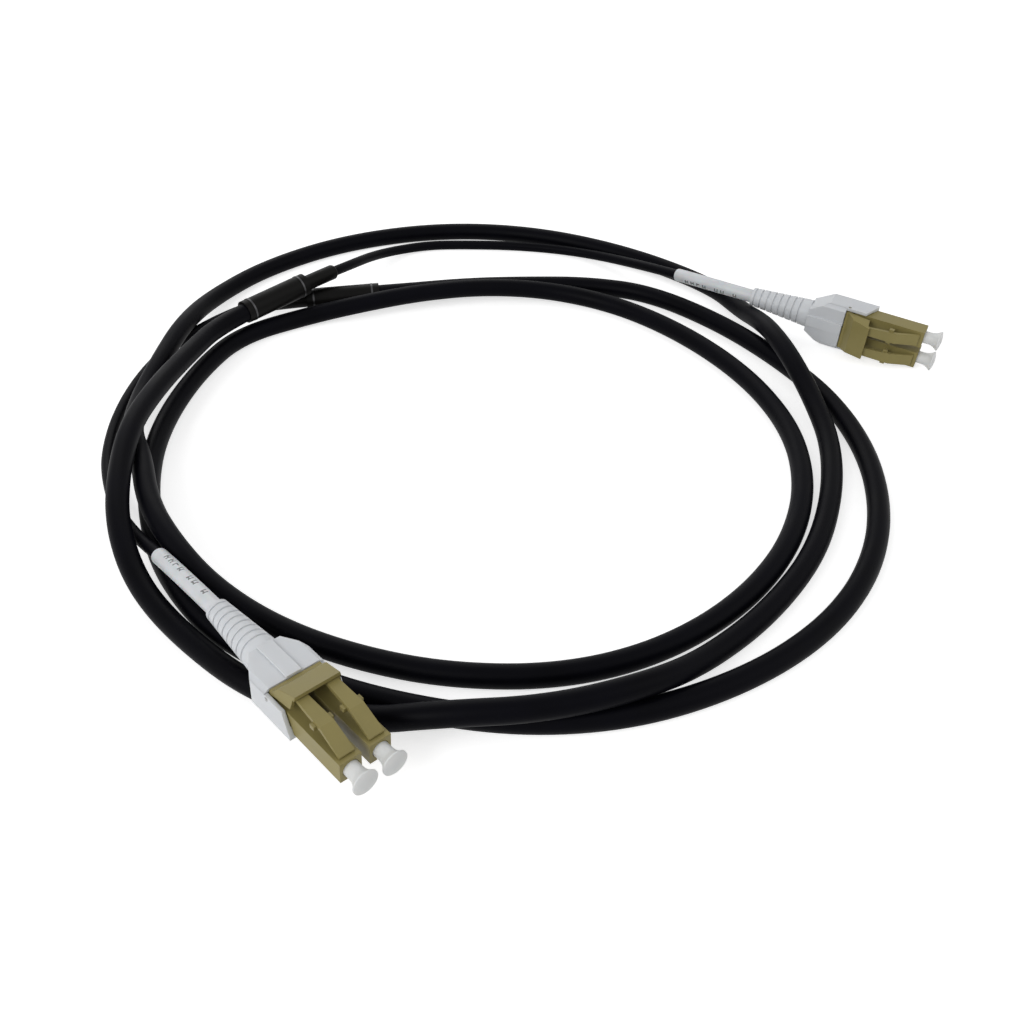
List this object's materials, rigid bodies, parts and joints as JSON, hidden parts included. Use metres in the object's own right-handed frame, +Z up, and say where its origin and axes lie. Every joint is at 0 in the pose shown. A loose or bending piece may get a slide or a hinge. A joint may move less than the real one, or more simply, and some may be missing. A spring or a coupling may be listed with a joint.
{
  "type": "duplex lc fibre patch lead",
  "caption": "Looped black fibre patch lead with a duplex latching plug, squeeze trigger, white shell, boot and dust caps at each end and a breakout tube to each thin lead.",
  "frame": {"origin": "on the surface the lead lies on, under the middle of the box round the two plugs with their shells, boots and caps, cords left out", "axes": "+Z up from the surface, +X towards the side of the far plug, +Y from the near plug towards the far one"},
  "size_m": [0.2144, 0.2241, 0.0164],
  "materials": {
    "cable_jacket": "soft satin black",
    "breakout_rubber": "satin black",
    "bright_band": "bright",
    "label_sleeve": "satin white",
    "white_nylon": "slightly translucent satin white",
    "beige_plastic": "satin beige",
    "cap_plastic": "slightly translucent satin white",
    "ferrule_ceramic": "polished white ceramic",
    "nickel_brass": "nickel plated",
    "spring_steel": "bright wire",
    "crimp_metal": "plain",
    "fibre_buffer": "clear coating"
  },
  "bodies": {
    "patch_lead": {"trunk_cable": "cable_jacket", "shell_lower_a": "white_nylon", "shell_cover_a": "white_nylon", "boot_a": "white_nylon", "crimp_ring_a": "crimp_metal", "lead_a": "cable_jacket", "label_sleeve_a": "label_sleeve", "small_sleeve_a": "breakout_rubber", "breakout_tube_a": "breakout_rubber", "band_trunk_a": "bright_band", "band_lead_a": "bright_band", "housing_left_a": "beige_plastic", "stop_left_a": "nickel_brass", "spring_left_a": "spring_steel", "housing_right_a": "beige_plastic", "stop_right_a": "nickel_brass", "spring_right_a": "spring_steel", "shell_lower_b": "white_nylon", "shell_cover_b": "white_nylon", "boot_b": "white_nylon", "crimp_ring_b": "crimp_metal", "lead_b": "cable_jacket", "label_sleeve_b": "label_sleeve", "small_sleeve_b": "breakout_rubber", "breakout_tube_b": "breakout_rubber", "band_trunk_b": "bright_band", "band_lead_b": "bright_band", "housing_left_b": "beige_plastic", "stop_left_b": "nickel_brass", "spring_left_b": "spring_steel", "housing_right_b": "beige_plastic", "stop_right_b": "nickel_brass", "spring_right_b": "spring_steel"},
    "trigger_a": {"trigger_a": "beige_plastic"},
    "latch_left_a": {"latch_left_a": "beige_plastic"},
    "ferrule_train_left_a": {"ferrule_left_a": "ferrule_ceramic", "holder_left_a": "nickel_brass", "fibre_left_a": "fibre_buffer"},
    "dust_cap_left_a": {"dust_cap_left_a": "cap_plastic"},
    "latch_right_a": {"latch_right_a": "beige_plastic"},
    "ferrule_train_right_a": {"ferrule_right_a": "ferrule_ceramic", "holder_right_a": "nickel_brass", "fibre_right_a": "fibre_buffer"},
    "dust_cap_right_a": {"dust_cap_right_a": "cap_plastic"},
    "trigger_b": {"trigger_b": "beige_plastic"},
    "latch_left_b": {"latch_left_b": "beige_plastic"},
    "ferrule_train_left_b": {"ferrule_left_b": "ferrule_ceramic", "holder_left_b": "nickel_brass", "fibre_left_b": "fibre_buffer"},
    "dust_cap_left_b": {"dust_cap_left_b": "cap_plastic"},
    "latch_right_b": {"latch_right_b": "beige_plastic"},
    "ferrule_train_right_b": {"ferrule_right_b": "ferrule_ceramic", "holder_right_b": "nickel_brass", "fibre_right_b": "fibre_buffer"},
    "dust_cap_right_b": {"dust_cap_right_b": "cap_plastic"}
  },
  "joints": [
    {"name": "trigger_press_a", "type": "hinge", "parent": "patch_lead", "child": "trigger_a", "pos_m": [0.06254, 0.06819, 0.00721], "axis": [0.0472, -0.0449, 0.9979], "range_deg": [0, 12], "stiffness_Nm_per_rad": 0.06},
    {"name": "latch_flex_left_a", "type": "hinge", "parent": "patch_lead", "child": "latch_left_a", "pos_m": [0.07913, 0.05859, 0.00913], "axis": [-0.0472, 0.0449, -0.9979], "range_deg": [0, 6.24], "stiffness_Nm_per_rad": 0.02},
    {"name": "ferrule_float_left_a", "type": "slide", "parent": "patch_lead", "child": "ferrule_train_left_a", "axis": [-0.8812, 0.4685, 0.0628], "range_m": [0, 0.0005], "stiffness_N_per_m": 1500, "deforming": ["spring_left_a"]},
    {"name": "cap_pull_left_a", "type": "slide", "parent": "patch_lead", "child": "dust_cap_left_a", "axis": [0.8812, -0.4685, -0.0628], "range_m": [0, 0.012]},
    {"name": "latch_flex_right_a", "type": "hinge", "parent": "patch_lead", "child": "latch_right_a", "pos_m": [0.07884, 0.05887, 0.00289], "axis": [-0.0472, 0.0449, -0.9979], "range_deg": [0, 6.24], "stiffness_Nm_per_rad": 0.02},
    {"name": "ferrule_float_right_a", "type": "slide", "parent": "patch_lead", "child": "ferrule_train_right_a", "axis": [-0.8812, 0.4685, 0.0628], "range_m": [0, 0.0005], "stiffness_N_per_m": 1500, "deforming": ["spring_right_a"]},
    {"name": "cap_pull_right_a", "type": "slide", "parent": "patch_lead", "child": "dust_cap_right_a", "axis": [0.8812, -0.4685, -0.0628], "range_m": [0, 0.012]},
    {"name": "trigger_press_b", "type": "hinge", "parent": "patch_lead", "child": "trigger_b", "pos_m": [-0.06615, -0.06291, 0.01123], "axis": [0.7312, 0.6802, -0.0523], "range_deg": [0, 12], "stiffness_Nm_per_rad": 0.06},
    {"name": "latch_flex_left_b", "type": "hinge", "parent": "patch_lead", "child": "latch_left_b", "pos_m": [-0.05091, -0.0747, 0.0112], "axis": [-0.7312, -0.6802, 0.0523], "range_deg": [0, 6.24], "stiffness_Nm_per_rad": 0.02},
    {"name": "ferrule_float_left_b", "type": "slide", "parent": "patch_lead", "child": "ferrule_train_left_b", "axis": [-0.6798, 0.7329, 0.0262], "range_m": [0, 0.0005], "stiffness_N_per_m": 1500, "deforming": ["spring_left_b"]},
    {"name": "cap_pull_left_b", "type": "slide", "parent": "patch_lead", "child": "dust_cap_left_b", "axis": [0.6798, -0.7329, -0.0262], "range_m": [0, 0.012]},
    {"name": "latch_flex_right_b", "type": "hinge", "parent": "patch_lead", "child": "latch_right_b", "pos_m": [-0.05548, -0.07895, 0.01152], "axis": [-0.7312, -0.6802, 0.0523], "range_deg": [0, 6.24], "stiffness_Nm_per_rad": 0.02},
    {"name": "ferrule_float_right_b", "type": "slide", "parent": "patch_lead", "child": "ferrule_train_right_b", "axis": [-0.6798, 0.7329, 0.0262], "range_m": [0, 0.0005], "stiffness_N_per_m": 1500, "deforming": ["spring_right_b"]},
    {"name": "cap_pull_right_b", "type": "slide", "parent": "patch_lead", "child": "dust_cap_right_b", "axis": [0.6798, -0.7329, -0.0262], "range_m": [0, 0.012]}
  ],
  "couplings": [
    {"joint": "latch_flex_left_a", "follows": "trigger_press_a", "ratio": 0.52},
    {"joint": "latch_flex_right_a", "follows": "trigger_press_a", "ratio": 0.52},
    {"joint": "latch_flex_left_b", "follows": "trigger_press_b", "ratio": 0.52},
    {"joint": "latch_flex_right_b", "follows": "trigger_press_b", "ratio": 0.52}
  ]
}
